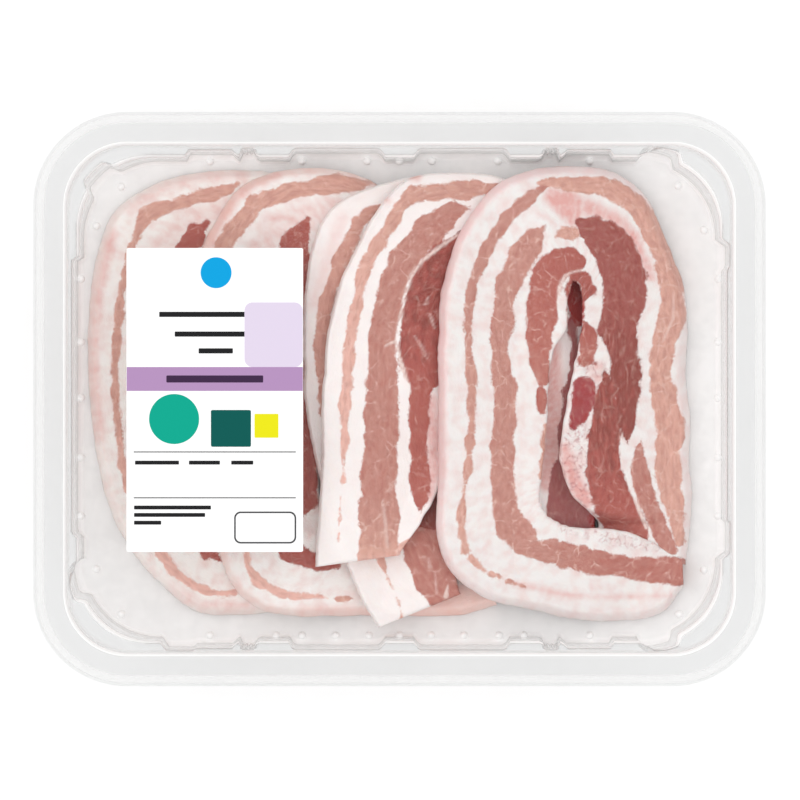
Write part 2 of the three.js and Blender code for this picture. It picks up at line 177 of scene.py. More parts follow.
slice3 = {
    "name": "slice_3", "rim": (0.86, 0.76, 0.73), "veins": 0.65, "fat": (255, 251, 249),
    "rimPink": [(0, 0.1), (16, 0.3)],
    "whiter": 0.75, "slope": 1,
    "pairs": [
        (-7.7, -70.8, 19, -60), (-13, -61.5, 17.5, -53), (-17.5, -50, 15.5, -44), (-22, -36, 13, -33),
        (-26.5, -20, 10, -18), (-29.6, -4, 7, -4), (-30.2, 14, 8, 10), (-30, 33, 10, 23),
        (-27.5, 48, 14, 32), (-22.5, 58.5, 18, 36), (-13, 65, 22, 38), (2, 69.5, 27, 38.2),
        (18, 70.3, 32, 36.6), (32, 65, 36, 32), (42, 52, 38, 25), (47, 34, 38, 14), (48, 16, 38, 2),
    ],
    "lean": [
        (0.19, [(-2, 60, 2), (-8, 58, 4), (-12.5, 54.5, 5), (-15, 50, 5), (-18.3, 43, 5), (-20.5, 36.5, 5),
                (-22.8, 29.7, 5), (-24, 22, 5), (-24.3, 14, 5), (-22, -10, 4), (-17, -30, 3)]),
        (0.08, [(-5.6, -49.5, 2.2), (-3.9, -55, 1.9), (-1.9, -59, 1.7)]),
        (0.12, [(-1.4, -60, 0.8), (-0.2, -63, 1.4), (0.7, -67, 1.2), (1, -70, 0.8)]),
        (darkRed, [(9, -30, 7), (8.4, -38, 12)]),
        (0.34, [(7.2, -43, 14), (8.6, -50, 13), (11.4, -56, 13), (14, -60.5, 12), (15.4, -63.5, 9)]),
    ],
    "seams": [
        (0.35, [(8.9, -49.4, 0.7), (9.4, -52, 1.3)]), (0.8, [(15, -57.6, 0.3), (14.4, -61, 1.6)]),
        (0.35, [(11, -54, 0.6), (11.5, -60, 0.9)]),
    ],
    "blush": [(0.3, [(-26, 30, 4), (-18, 56, 4)])],
}

slice4 = {
    "name": "slice_4", "rim": (0.88, 0.78, 0.75), "veins": 0.7, "fat": (255, 251, 249),
    "rimPink": [(0, 0.1), (8, 0.4), (19, 0.3)],
    "whiter": 0.8, "slope": 1,
    "pairs": [
        (-26.8, -51.4, 0.4, -47.6), (-26, -40, 7, -38.5), (-24.8, -24, 13.6, -25), (-24.6, -6, 16.5, -10),
        (-23.8, 10, 17.5, 4), (-21.8, 25, 20, 17), (-18, 38.5, 24, 27), (-12, 50.5, 28, 33),
        (-6, 61, 32, 35.5), (4, 69.6, 36, 36.4), (19, 71.2, 40, 36), (33, 69, 44, 34), (45, 60, 43, 30),
        (55, 46, 43, 22), (59.5, 29, 42.5, 11), (61, 12, 41, -1), (61.5, -6, 39.5, -11),
        (62, -22, 39.5, -22), (61.9, -36, 39.5, -34), (61.5, -45, 41, -44.5),
    ],
    "lean": [
        ((0.2, pale), [
            (29.8, 65.7, 2.5), (23, 64.8, 5.8), (12.7, 64.5, 5.6), (3.7, 63.2, 5.2), (0.6, 59.5, 4.3),
            (-3.3, 53.3, 4.3), (-6.8, 47.9, 4.3), (-9.9, 42.2, 4.2), (-11.9, 36.3, 4.2), (-13.2, 29.5, 4.2),
            (-14.6, 23.9, 3.6), (-15.8, 16.1, 4), (-16.7, -0.3, 4), (-16.8, -6.5, 3.2),
            (-17.6, -25.4, 1.4)]),
        (pale, [(-18.2, -29.6, 0.9), (-18.5, -32.4, 1.7), (-18.7, -38, 1), (-18.9, -44, 0.9)]),
        (0.3, [(21, 59.2, 1.5), (16.4, 58.2, 6), (13, 54.8, 9), (8.8, 51.9, 9.6), (5, 47.7, 8.8),
               (1.2, 42.8, 9.2), (-1.8, 36.6, 9.1), (-3.3, 28.8, 9.3), (-4.8, 23.9, 9.3), (-5.6, 14.9, 8.8),
               (-5.4, -0.3, 10.2), (-5.6, -6.5, 10.8), (-6.5, -29, 11.4)]),
        ((0.3, 0.16), [(-6.5, -29, 11.4), (-6.2, -37.5, 13), (-6.3, -42, 13.1), (-6.4, -46, 13.4)]),
        ((0.16, pale), [(-6.4, -46, 13.4), (-6.5, -49, 13.8), (-6.6, -55, 14)]),
        (0.04, [(-2, -47.8, 4), (1, -45.5, 3.5), (3.8, -42.6, 1.5)]),
        (0.57, [(20, 49, 7), (14, 42.5, 12), (10.6, 37.6, 14), (8.2, 28.8, 15)]),
        ((0.57, 0.46), [(8.2, 28.8, 15), (7.2, 13.3, 15.6), (7.4, 8, 12), (6.4, 2, 7), (5.8, -15.8, 6)]),
        (0.46, [(5.9, -17, 5.8), (6.6, -25, 8), (6.4, -31.5, 4.8), (6.5, -35.5, 1.2)]),
        (deep, [(54.6, 40, 5), (54.9, 30, 6.5), (55.4, 24.5, 5.5)]),
        ((mauve, deep), [(56, -34.5, 6), (58.5, -37, 6), (61.5, -39.5, 7)]),
        (mauve, [(53.6, 23.6, 3.5), (54.3, 16.7, 2.8), (55, 9, 4.3), (55.3, 1.2, 10), (54.9, -9.6, 11),
                 (54.9, -18.9, 13), (53.8, -26.7, 15), (52.7, -38, 16)]),
    ],
    "seams": [
        (1, [(19, 51, 0.7), (16.6, 50, 1), (11.7, 46.5, 1.1), (6.7, 42.5, 1.1), (3.7, 38.1, 1.1),
             (1.8, 32.7, 0.8), (0.8, 27.7, 0.8), (-0.2, 22.8, 0.9), (-0.9, 17.8, 1.1), (-0.2, 12.9, 1.3),
             (1.3, 8, 1.6), (2.6, 2, 1.8)]),
        (0.9, [(-0.9, 17.8, 1), (-2.8, 17.4, 0.7), (-4.4, 16.4, 0.5)]),
        (0.5, [(-5.2, -31.5, 0.5), (-4.4, -38, 1), (-3.8, -46, 0.8)]),
        (0.5, [(4.7, 19.4, 0.5), (6.7, 16.4, 0.8), (8.7, 12.4, 0.5)]),
        (0.6, [(9.2, 26.5, 0.5), (10, 24.5, 0.9), (10.8, 22, 0.5)]),
        (0.5, [(8.8, 31.5, 0.5), (8.4, 29.6, 0.8), (7.4, 29.2, 0.5)]),
    ],
    "blush": [
        (1.6, [(4, 69.4, 2.4), (5, 69.2, 2.4)]), (0.9, [(-4.6, 61.9, 1.8), (-4, 61.6, 1.8)]),
        (0.75, [(9.6, -1, 4), (10.8, -12, 4.5), (10.6, -22, 4.5), (9, -30, 3)]),
        (0.8, [(47, 16, 5), (47.5, 0, 6), (47, -15, 6), (45.5, -26, 5)]),
    ],
}

slice5 = {
    "name": "slice_5", "rim": (0.93, 0.67, 0.66), "veins": 0.85, "fat": (244, 243, 241),
    "rimPink": [(0, 0.25), (5, 0.3), (7, 0.6), (9, 1), (14, 1), (16, 0.7), (18, 0.4), (21, 0.2), (27, 0.3)],
    "pairs": [
        (88.4, -60, 88, -49.4), (82, -67.5, 77, -43.4), (70, -70, 68, -40.6), (55, -69.3, 57, -39.9),
        (41, -66.2, 51, -38.8), (28, -63, 46.8, -36.4), (17, -55.5, 44.6, -33.2), (11.6, -44, 43.9, -30),
        (11.6, -28, 44.6, -24), (11.8, -8, 46.3, -9), (11.6, 12, 47, 8), (12, 24, 48.6, 16.4),
        (13, 35, 52.6, 22.4), (17.4, 49.5, 52.6, 29.5), (26.6, 63.8, 53.5, 33.5), (38.5, 71.2, 53.8, 35.6),
        (53, 73.2, 54.6, 36.2), (67, 71.4, 55.8, 35.4), (77.5, 64, 56.4, 33), (83.6, 50.5, 56.6, 29),
        (89.4, 35.5, 56.4, 22), (90.6, 22, 54.5, 12), (90, 8, 52.5, 2), (91.6, -5, 50.8, -8),
        (91.2, -18, 49.8, -19), (92, -31, 53.5, -30), (90.8, -46, 61.7, -38.5),
    ],
    "lean": [
        (salmon, [
            (42.8, 66.8, 1.6), (47.7, 67.3, 2.8), (53.3, 66.7, 5), (58.9, 66.3, 6.2), (63.9, 65.4, 6.8),
            (68.8, 62.8, 7.4), (73.8, 59.2, 6.5), (77.3, 54.9, 7.2), (79.7, 49, 7.2), (82.5, 43.7, 7.4),
            (83.9, 36.6, 8.2), (84.9, 30.7, 7.6), (84, 24.3, 9.2), (81.8, 16.7, 7.6), (80.6, 8.1, 6.2),
            (82.2, -0.3, 8), (84, -8.7, 9.3), (83.2, -15.8, 8.4), (83.7, -25.1, 8.2), (85.1, -33.9, 6),
            (86.8, -43.7, 3.1)]),
        (pinkBrown, [(44.9, 66, 1.6), (41.1, 63, 5), (36.9, 59.9, 4), (32.5, 54.3, 4.5), (27.4, 47.4, 4.2),
                     (24.8, 41.8, 3.8), (22.4, 35.3, 4.1), (21.5, 28.8, 3.9), (21.3, 16.1, 3.3)]),
        ((0.24, 0.1), [
            (21.3, 16.1, 3.3), (22.5, 5.9, 3.3), (22.5, -6.5, 3), (21.6, -17.4, 2.7), (20.8, -23.6, 2.4),
            (19.8, -30.7, 2), (19.2, -38.4, 3.2), (19.6, -42.5, 3.2), (20.4, -47.2, 2.6)]),
        (0.1, [(22, -49.3, 2.4), (23.8, -51.3, 3), (25.8, -52.7, 2.8)]),
        (0.1, [(28.4, -54, 2.2), (30.8, -54.8, 1.6)]), (0.2, [(34, -56.4, 1.6), (38.4, -58.1, 1.8)]),
        (pinkBrown, [
            (44.6, 53.6, 1.6), (41.4, 49.6, 7), (40, 47.1, 8.6), (36.9, 42.2, 8.2), (34.3, 36.6, 8.4),
            (32.6, 31, 6.7), (31.9, 24, 7.3), (31, 14.6, 5.7), (32.3, 5.9, 7.3), (32.7, -0.3, 7.8),
            (31.8, -15.8, 7.1), (32.2, -27, 8.2), (32.6, -34.1, 9), (34.9, -39.6, 9.6), (38.3, -43, 9.4),
            (41.2, -46.2, 6.6)]),
        ((pinkBrown, 0.37), [
            (41.2, -46.2, 6.6), (45.9, -47.1, 7.4), (52.1, -48.5, 7.8), (57.7, -49.8, 8.4),
            (62.3, -50.8, 8.6), (67, -51.9, 7.1)]),
        (0.37, [(67, -51.9, 7.1), (74.2, -52.7, 8.5), (80.1, -53.3, 8.8), (83.2, -52.7, 9.2),
                (86.3, -53.3, 9)]),
        ((0.53, 0.37), [
            (56.3, 41.4, 3), (55.2, 42.6, 6.2), (52.5, 43.2, 8.3), (49.4, 42, 10.4), (46.5, 39.5, 11),
            (44.9, 35, 10.6), (44.3, 29.5, 9.8), (43.9, 23.3, 9.2), (43.2, 16.7, 7.8), (43.2, 11.5, 7),
            (44.3, 6, 4.8)]),
        (rose, [(43.9, 2.8, 3), (43.9, -3.4, 3.2)]),
        (salmon, [(45.2, -8.6, 2), (45.2, -15, 2.6), (44.6, -24, 2.2)]),
        (salmon, [(48.3, 50.4, 2.2), (51, 51.7, 4.2), (53.8, 51, 4.6)]),
        (red, [(52.4, 23.9, 1.9), (52.5, 30.7, 2.5), (52.4, 35.3, 2.5), (54.3, 38.1, 3.7), (57.4, 37.5, 5),
               (58.6, 34.4, 5), (57.4, 31.9, 3.7)]),
        (deep, [(56.9, 33.8, 1.4), (57, 28, 1.8), (56.6, 24, 1.5), (55.6, 20, 1)]),
        ((red, 0.4), [(57.2, 23.6, 2.6), (58, 20.5, 5), (58.4, 16.5, 6.2), (57.6, 12.4, 5.4)]),
        (red, [(59, 14.6, 0.8), (61, 15.4, 0.8)]), (red, [(58, 10.4, 0.7), (60.6, 11, 0.7)]),
        (purple, [(57.3, 3.6, 8), (56.7, -1.5, 7.8), (55.6, -5.5, 6), (54, -8.2, 3.6)]),
        (darkRed, [(55.5, 55, 2.6), (59.8, 52.4, 8.8), (63.1, 49.4, 12.2), (66.3, 46, 13), (68.7, 41.4, 14),
                   (69.8, 36.6, 14), (69.9, 31.8, 12.7)]),
        ((darkRed, brown), [
            (69.9, 31.8, 12.7), (68.8, 27, 12.6), (67.7, 22.2, 12.2), (68.4, 16.7, 10.2), (69.8, 11.5, 9.9),
            (70.4, 4.3, 8.8)]),
        (brown, [(70.4, 4.3, 8.8), (70.5, -2.3, 7.4), (70.4, -8.5, 5.4), (70.7, -14, 1.4)]),
    ],
    "limbLean": [
        ((0.58, 0.57), [(63.6, 8.2, 0.8), (64, 3.7, 5.6), (63.8, -2.5, 8.4), (63.7, -7.8, 9.7),
                        (63.4, -12.7, 10.9), (62.8, -18, 10.9)]),
        ((0.57, 0.48), [(62.8, -18, 10.9), (63.2, -23.4, 11.7), (64.8, -28.5, 11.8), (67, -33.5, 12.4),
                        (69.6, -38.3, 13), (71, -42, 13)]),
        (0.33, [(74.9, -11.8, 0.8), (74.4, -15.3, 3.7), (74.1, -20.5, 5.7), (75, -26.4, 5.6),
                (76.6, -31.5, 6), (79, -36.9, 6), (81.6, -42.6, 5.8), (84, -47, 4)]),
    ],
    "legEnd": 0.23,  # share of the length in which the limb's lean doesn't show
    "seams": [
        (1, [(57.3, 40.1, 0.5), (53.1, 39.2, 0.5), (51.1, 38, 0.9), (49.6, 34.5, 1.4), (49.4, 29.7, 1.4),
             (50.5, 25, 1.5), (50.2, 20.8, 1.3), (49, 17.3, 0.8)]),
        (0.5, [(84.9, 33, 0.4), (84.8, 25, 0.8), (81.6, 18, 0.5)]),
        (1, [(68.5, -9.5, 0.2), (69.3, -14, 0.8), (70.4, -22, 1.4), (71.6, -27, 1.1), (74, -34, 1.1),
             (76.4, -40, 0.8)]),
    ],
    "blush": [
        (0.8, [(48, 62.5, 6), (52.5, 60, 9), (54, 56, 5)]),
        (0.75, [(58, 59, 4.5), (66, 56.5, 4), (73, 50, 3), (77.5, 38, 2.6)]),
        (0.9, [(51.5, -15.5, 3), (52.6, -22, 4.5), (55, -27, 5), (58, -31.5, 4)]),
        (0.6, [(36, -57, 0.5), (47.8, -60, 0.5), (59.6, -61.4, 0.5), (84, -61, 0.5)]),
        (0.4, [(46, -30, 3), (47.4, -36, 3)]), (0.5, [(61, 9, 5), (63, 4, 2)]),
    ],
    "lumpy": [
        (1, [(55.5, -8, 5), (53.5, -16, 8), (54, -24, 8.5), (60, -33.5, 6)]),
        (1, [(58, 9.8, 6), (62.4, 9, 4.5)]), (0.8, [(50, -39.5, 3), (64, -43, 4), (80, -46, 3)]),
    ],
    "slit": [(1, [(55, 39, 5), (55, 30, 6), (56, 18, 6)])],  # where the walls are deep red
    "tuck": {"run": 13, "drop": 7.2, "end": (90, -51, 59, -45)},  # its end lies under its leg
}

slices = [slice1, slice2, slice3, slice4, slice5]


def smoothstep(value, low, high):
    share = np.clip((value - low) / (high - low), 0, 1)
    return share * share * (3 - 2 * share)


def wander(x, y, cell, seed):  # -1 to 1, smooth over about one cell
    lattice = np.random.default_rng(seed).uniform(-1, 1, (64, 64))
    u, v = np.asarray(x) / cell + 200, np.asarray(y) / cell + 200
    i, j = np.floor(u).astype(int), np.floor(v).astype(int)
    fu, fv = smoothstep(u - i, 0, 1), smoothstep(v - j, 0, 1)
    at = lambda a, b: lattice[(i + a) % 64, (j + b) % 64]
    low = at(0, 0) * (1 - fu) + at(1, 0) * fu
    high = at(0, 1) * (1 - fu) + at(1, 1) * fu
    return low * (1 - fv) + high * fv


def newObject(name, data):
    made = bpy.data.objects.new(name, data)
    bpy.context.scene.collection.objects.link(made)
    return made


def shade(mesh, smooth):
    mesh.polygons.foreach_set("use_smooth", [smooth] * len(mesh.polygons))


def addFloats(mesh, key, values):
    mesh.attributes.new(key, "FLOAT", "POINT").data.foreach_set(
        "value", np.asarray(values, np.float32))


# points in millimetres, and faces turned to point outwards
def meshPiece(name, points, faces, material, uv=None, attributes=None, smooth=True):
    points = np.asarray(points, float)
    triangles = [(f[0], f[k], f[k + 1]) for f in faces for k in range(1, len(f) - 1)]
    a, b, c = points[np.array(triangles)].transpose(1, 0, 2)
    if np.einsum("ij,ij->i", a, np.cross(b, c)).sum() < 0:
        faces = [tuple(reversed(face)) for face in faces]
    mesh = bpy.data.meshes.new(name)
    mesh.from_pydata((points * mm).tolist(), [], faces)
    shade(mesh, smooth)
    if uv is not None:
        corners = np.zeros(len(mesh.loops), int)
        mesh.loops.foreach_get("vertex_index", corners)
        mesh.uv_layers.new(name="UVMap").data.foreach_set("uv", uv[corners].ravel())
    for key, values in (attributes or {}).items():
        addFloats(mesh, key, values)
    mesh.materials.append(material)
    mesh.update()
    return newObject(name, mesh)


# the walls of a stack of closed rings, and a fan at each end round the two points after them
def ringFaces(count, size):
    faces = [(r * size + s, r * size + (s + 1) % size,
              (r + 1) * size + (s + 1) % size, (r + 1) * size + s)
             for r in range(count - 1) for s in range(size)]
    last, middle = (count - 1) * size, count * size
    for s in range(size):
        after = (s + 1) % size
        faces += [(after, s, middle), (last + s, last + after, middle + 1)]
    return faces


def addPiece(piece, slot, node=None):
    if slot.startswith("clear"):
        piece.visible_shadow = False  # so the clear sheet doesn't darken the meat and floor
    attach(piece, "root")
    if node:
        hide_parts(node)
    return piece


def newMaterial(name):
    material = bpy.data.materials.new(name)
    material.use_nodes = True
    tree = material.node_tree
    tree.nodes.clear()

    def add(kind, settings=None, **inputs):
        node = tree.nodes.new(kind)
        for key, value in (settings or {}).items():
            setattr(node, key, value)
        for key, value in inputs.items():
            socket = node.inputs[int(key[1:])] if key[0] == "_" else node.inputs[key]
            if isinstance(value, bpy.types.NodeSocket):
                tree.links.new(value, socket)
            else:
                socket.default_value = value
        return node

    return material, add


def colourMix(add, share, first, second):
    solid = lambda value: value if isinstance(value, bpy.types.NodeSocket) else (*value, 1)
    return add("ShaderNodeMix", {"data_type": "RGBA"}, _0=share, _6=solid(first),
               _7=solid(second)).outputs[2]


def math2(add, operation, first, second):
    return add("ShaderNodeMath", {"operation": operation}, _0=first, _1=second).outputs[0]


def linear(red, green, blue):
    return tuple(((c / 255 + 0.055) / 1.055) ** 2.4 for c in (red, green, blue))


# lets light through, shines at a slant, and is frosted where the sheet was drawn thin; where the frost goes
# past 1, on the bends and studs, it is plain white matte as a painted highlight
def clearPlastic(name, tint, roughness, most, frostedAndHighlit=False):
    material, add = newMaterial(name)
    through = add("ShaderNodeBsdfTransparent", Color=(*tint, 1))
    shine = add("ShaderNodeBsdfGlossy", Color=(1, 1, 1, 1), Roughness=roughness)
    slant = add("ShaderNodeLayerWeight", Blend=0.35).outputs["Facing"]
    gloss = add("ShaderNodeMapRange", Value=slant, _3=0.006, _4=most).outputs[0]
    sheet = add("ShaderNodeMixShader", _0=gloss, _1=through.outputs[0], _2=shine.outputs[0])
    if frostedAndHighlit:
        coords = add("ShaderNodeTexCoord")
        patches = add("ShaderNodeTexNoise", Vector=coords.outputs["Object"], Scale=130.0,
                      Detail=3.0)
        patchy = add("ShaderNodeMapRange", Value=patches.outputs["Fac"], _1=0.35, _2=0.65,
                     _3=0.85, _4=1.0).outputs[0]
        height = add("ShaderNodeSeparateXYZ", Vector=coords.outputs["Object"]).outputs[2]
        onFloor = add("ShaderNodeMapRange", Value=height, _1=0.004, _2=0.006, _3=0.0, _4=1.0)
        patchy = math2(add, "MAXIMUM", patchy, onFloor.outputs[0])
        frost = add("ShaderNodeAttribute", {"attribute_name": "frost"}).outputs["Fac"]
        matte = add("ShaderNodeBsdfDiffuse", Color=(0.99, 0.98, 0.975, 1))
        share = add("ShaderNodeMath", {"operation": "MULTIPLY", "use_clamp": True},
                    _0=frost, _1=patchy).outputs[0]
        sheet = add("ShaderNodeMixShader", _0=share,
                    _1=sheet.outputs[0], _2=matte.outputs[0])
    add("ShaderNodeOutputMaterial", Surface=sheet.outputs[0])
    return material


def porkMaterial(settings):
    material, add = newMaterial(settings["name"] + "_meat")
    uv = add("ShaderNodeUVMap", {"uv_map": "UVMap"}).outputs[0]
    place = add("ShaderNodeMapping", Vector=add("ShaderNodeTexCoord").outputs["Object"],
                Scale=(1000, 1000, 1000)).outputs[0]  # millimetres
    attribute = lambda key: add("ShaderNodeAttribute", {"attribute_name": key}).outputs["Fac"]
    ramped = lambda value, low, high, first=0.0, last=1.0: add(
        "ShaderNodeMapRange", Value=value, _1=low, _2=high, _3=first, _4=last).outputs[0]
    noise = lambda scale, detail, stretch=(1, 1, 1): add(
        "ShaderNodeTexNoise",
        Vector=add("ShaderNodeMapping", Vector=uv, Scale=stretch).outputs[0],
        Scale=scale, Detail=detail).outputs["Fac"]
    times = lambda first, second: math2(add, "MULTIPLY", first, second)
    plus = lambda first, second: math2(add, "ADD", first, second)
    swing = lambda value, size: times(math2(add, "SUBTRACT", value, 0.5), size)
    leanTone, lumpy = attribute("leanTone"), attribute("lumpy")

    # muscle bundles: cells bent by noise, with a pinch and a white vein where two meet
    bend = add("ShaderNodeTexNoise", Vector=place, Scale=0.3, Detail=3.0).outputs["Color"]
    bent = add("ShaderNodeVectorMath", {"operation": "MULTIPLY_ADD"},
               _0=bend, _1=(4.5, 4.5, 4.5), _2=place).outputs[0]
    cells = lambda feature, kind: add("ShaderNodeTexVoronoi", {"feature": feature}, Vector=bent,
                                      Scale=1 / cellSizes[kind]).outputs["Distance"]
    mixed = lambda share, first, kind: colourMix(add, share, first, linear(*patternColours[kind]))
    bundle = ramped(cells("F1", "bundle"), 0.15, 0.75, 0.55, -0.6)
    teeth, slow = swing(noise(1.5, 3.0), 1.5), swing(noise(0.25, 2.0), 1.4)
    depth = plus(attribute("leanDepth"), plus(bundle, plus(teeth, slow)))
    isLean = ramped(depth, -0.25, 0.35)

    vein = times(ramped(cells("DISTANCE_TO_EDGE", "bundle"), 0.005, 0.06, 0.75, 0.0),
                 ramped(noise(0.3, 3.0), 0.44, 0.62))
    hair = times(ramped(cells("DISTANCE_TO_EDGE", "hair"), 0.0, 0.12, 0.32, 0.0),
                 ramped(noise(0.5, 3.0), 0.47, 0.67))
    light = ramped(leanTone, 0.25, 0.6, settings["veins"], settings["veins"] * 0.4)
    vein = times(math2(add, "MAXIMUM", vein, hair), light)

    tone = plus(leanTone, swing(noise(0.5, 4.0, (0.5, 1, 1)), 0.26))
    ramp = add("ShaderNodeValToRGB", Fac=tone)
    while len(ramp.color_ramp.elements) < len(toneColours):
        ramp.color_ramp.elements.new(0.5)
    for element, (position, colour) in zip(ramp.color_ramp.elements, toneColours.items()):
        element.position = position
        element.color = (*linear(*colour), 1)
    flecks = times(ramped(noise(3.4, 4.0), 0.5, 0.68, 0.0, 0.5), light)
    streaks = times(ramped(noise(1.2, 5.0, (0.22, 1.3, 1)), 0.56, 0.72, 0.0, 0.3),
                    ramped(leanTone, 0.3, 0.5))
    stripes = ramped(noise(0.9, 5.0, (0.3, 1, 1)), 0.3, 0.55, 0.3, 0.0)
    lean = mixed(stripes, ramp.outputs[0], "stripe")
    lean = mixed(math2(add, "MAXIMUM", flecks, streaks), lean, "fleck")
    lean = mixed(vein, lean, "vein")
    seam = times(attribute("seam"), ramped(noise(0.8, 3.0), 0.3, 0.6, 0.6, 1.0))
    lean = mixed(seam, lean, "seam")

    patchy = ramped(noise(0.5, 4.0), 0.3, 0.7, 0.6, 1.1)
    mottled = 0.36 * (1 - settings.get("whiter", 0)) + 0.1
    mottle = ramped(noise(0.22, 4.0), 0.42, 0.75, 0.1, mottled)
    pink = plus(mottle, times(attribute("blush"), patchy))
    fat = mixed(pink, linear(*settings["fat"]), "blush")
    across = add("ShaderNodeSeparateXYZ", Vector=uv).outputs[1]
    onRim = times(ramped(plus(across, times(noise(0.6, 3.0), 1.6)), 4.3, 2.6),
                  times(ramped(noise(0.12, 2.0), 0.35, 0.65, 0.6, 1.0), attribute("rimPink")))
    washed = times(attribute("wash"), ramped(noise(0.4, 3.0), 0.3, 0.7, 0.8, 1.05))
    fat = colourMix(add, math2(add, "MAXIMUM", onRim, washed), fat, settings["rim"])
    # the hollows between the lumps, where the bump is lowest, are painted a darker grey-purple: partly the
    # fat's own tint, partly painted shade
    pitTintsAndShade = times(ramped(cells("DISTANCE_TO_EDGE", "lump"), 0.0, 0.13, 0.7, 0.0),
                 times(lumpy, ramped(noise(0.6, 3.0), 0.42, 0.6)))
    colour = colourMix(add, isLean, mixed(pitTintsAndShade, fat, "pitTintAndShade"), lean)
    grain = plus(noise(1.4, 5.0, (0.5, 1, 1)), times(isLean, 0.25))
    lumps = times(lumpy, ramped(cells("F1", "lump"), 0.0, 0.8, 2.4, 0.0))
    bump = add("ShaderNodeBump", Strength=0.45, Distance=0.0005, Height=plus(grain, lumps))
    skin = add("ShaderNodeBsdfPrincipled", **{
        "Base Color": colour, "Roughness": 0.45, "Normal": bump.outputs["Normal"],
        "Subsurface Weight": 0.1, "Subsurface Radius": (1.0, 0.4, 0.3),
        "Subsurface Scale": 0.0012, "Specular IOR Level": 0.22})
    add("ShaderNodeOutputMaterial", Surface=skin.outputs[0])
    return material


def paper(name, colour):
    material, add = newMaterial(name)
    coords = add("ShaderNodeTexCoord")
    grain = add("ShaderNodeTexNoise", Vector=coords.outputs["Object"], Scale=900.0, Detail=3.0)
    tinted = colourMix(add, math2(add, "MULTIPLY", grain.outputs["Fac"], 0.06), colour,
                       tuple(c * 0.9 for c in colour))
    sheet = add("ShaderNodeBsdfPrincipled", **{
        "Base Color": tinted, "Roughness": 0.6, "Specular IOR Level": 0.1})
    add("ShaderNodeOutputMaterial", Surface=sheet.outputs[0])
    return material


def throughPoints(points, share):  # a smooth curve, the same as the CAD's
    points = np.asarray(points, float)
    ends = np.vstack([2 * points[0] - points[1], points, 2 * points[-1] - points[-2]])
    place = np.clip(share, 0, 1) * (len(points) - 1)
    i = np.minimum(place.astype(int), len(points) - 2)
    t = (place - i)[:, None]
    a, b, c, d = ends[i], ends[i + 1], ends[i + 2], ends[i + 3]
    return 0.5 * (2 * b + (c - a) * t + (2 * a - 5 * b + 4 * c - d) * t**2
                  + (3 * b - a - 3 * c + d) * t**3)


def slopeLimited(heights, fall):
    while True:
        before = heights.copy()
        for step in ((1, 0), (-1, 0), (0, 1), (0, -1), (1, 1), (1, -1), (-1, 1), (-1, -1)):
            near = np.roll(heights, step, (0, 1))
            heights = np.maximum(heights, near - fall * math.hypot(*step))
        if np.abs(heights - before).max() < 1e-6:
            return heights


class RestingSurface:  # what the next slice comes to lie on, a height for each millimetre
    def __init__(self, floor):
        self.heights = np.full((tray["width"] + 1, tray["length"] + 1), float(floor))

    def place(self, xy):
        return xy[..., 0] + tray["length"] / 2, xy[..., 1] + tray["width"] / 2

    def at(self, xy):
        u, v = self.place(xy)
        i = np.clip(np.floor(u).astype(int), 0, tray["length"] - 1)
        j = np.clip(np.floor(v).astype(int), 0, tray["width"] - 1)
        fu, fv = np.clip(u - i, 0, 1), np.clip(v - j, 0, 1)
        h = self.heights
        return ((h[j, i] * (1 - fu) + h[j, i + 1] * fu) * (1 - fv)
                + (h[j + 1, i] * (1 - fu) + h[j + 1, i + 1] * fu) * fv)

    def lay(self, xy, tops):
        u, v = self.place(xy.reshape(-1, 2))
        raised = self.heights.copy()
        for down in (-1, 0, 1, 2):
            for right in (-1, 0, 1, 2):
                i = np.clip(np.floor(u).astype(int) + right, 0, tray["length"])
                j = np.clip(np.floor(v).astype(int) + down, 0, tray["width"])
                np.maximum.at(raised, (j, i), tops.ravel())
        self.heights = slopeLimited(raised, meat["drapeSlope"])


# how far each point lies inside the nearest route, in millimetres, and that route's own value
def nearestRoute(xy, routes):
    depth = np.full(len(xy), -50.0)
    value = np.zeros(len(xy))
    for own, route in routes:
        first, last = own if isinstance(own, tuple) else (own, own)
        for step, ((x0, y0, w0), (x1, y1, w1)) in enumerate(zip(route, route[1:])):
            start, span = np.array([x0, y0]), np.array([x1 - x0, y1 - y0])
            t = np.clip((xy - start) @ span / max(span @ span, 1e-9), 0, 1)
            away = np.linalg.norm(xy - start - t[:, None] * span, axis=1)
            inside = (w0 + (w1 - w0) * t) / 2 - away
            better = inside > depth
            depth[better] = inside[better]
            value[better] = (first + (last - first) * (step + t) / (len(route) - 1))[better]
    return depth, value


def leanAt(xy, shares, settings):
    depth, tone = nearestRoute(xy, settings["lean"])
    limbDepth, limbTone = nearestRoute(xy, settings.get("limbLean", []))
    better = (limbDepth > depth) & (shares > settings.get("legEnd", 0))
    depth[better], tone[better] = limbDepth[better], limbTone[better]
    return depth, tone


def asSeen(xy, z):  # where a point that lies deeper shows in the rim's plane
    return xy * (1 - (tray["depth"] - z) / view["height"])[:, None]


def softRoutes(xy, routes, soft):
    share = np.zeros(len(xy))
    for own, route in routes:
        inside, _ = nearestRoute(xy, [(own, route)])
        share = np.maximum(share, own * smoothstep(inside, -soft, soft))
    return share


